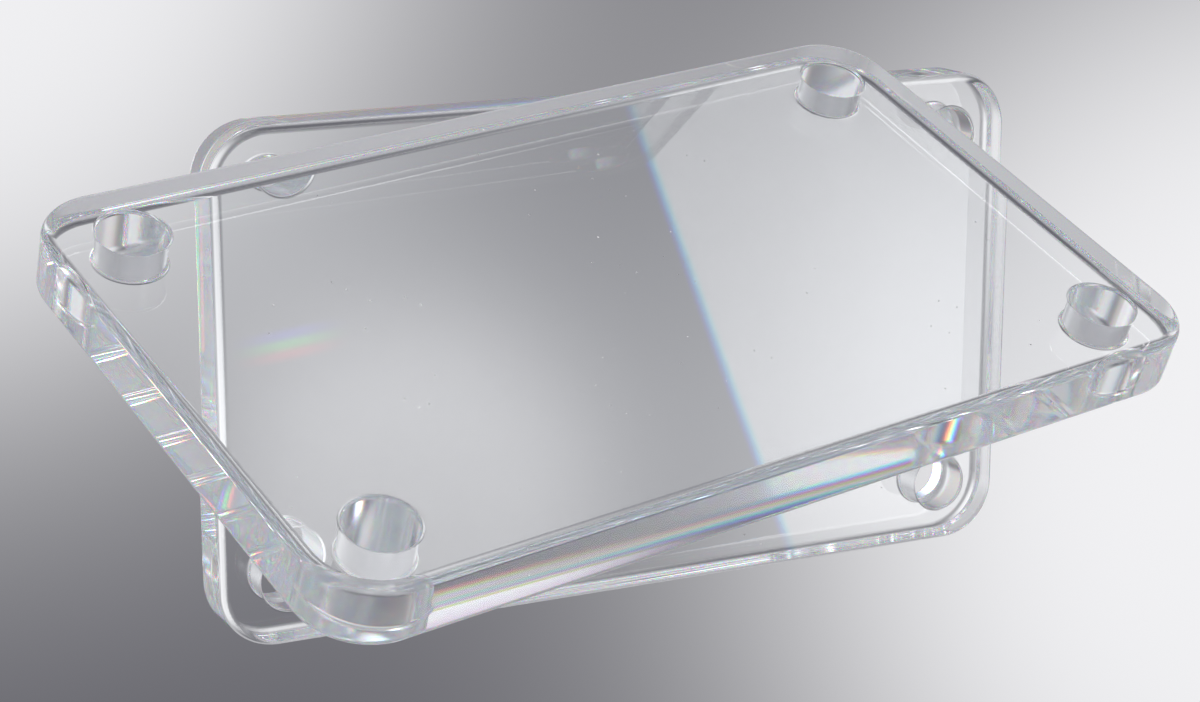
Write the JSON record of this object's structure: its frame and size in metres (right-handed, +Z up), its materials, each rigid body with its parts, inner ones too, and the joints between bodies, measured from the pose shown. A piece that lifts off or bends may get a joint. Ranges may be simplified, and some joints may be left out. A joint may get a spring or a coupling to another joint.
{
  "type": "pair of clear acrylic mounting plates",
  "caption": "Thick clear acrylic plates with rounded corners, polished rims and a round hole near each corner: one upright, one sloping in front of it.",
  "frame": {"origin": "centre of the upright plate: the middle of its four-hole pattern, halfway through its thickness", "axes": "+X along the upright plate's long side, +Z up, -Y towards the sloping plate"},
  "size_m": [0.1896, 0.1261, 0.0956],
  "materials": {
    "clear_acrylic": "polished"
  },
  "bodies": {
    "body": {"upright_plate": "clear_acrylic"},
    "sloping": {"sloping_plate": "clear_acrylic"}
  },
  "joints": [
    {"name": "plates_apart", "type": "slide", "parent": "body", "child": "sloping", "axis": [0, -1, 0], "range_m": [-0.016, 0.12]}
  ]
}
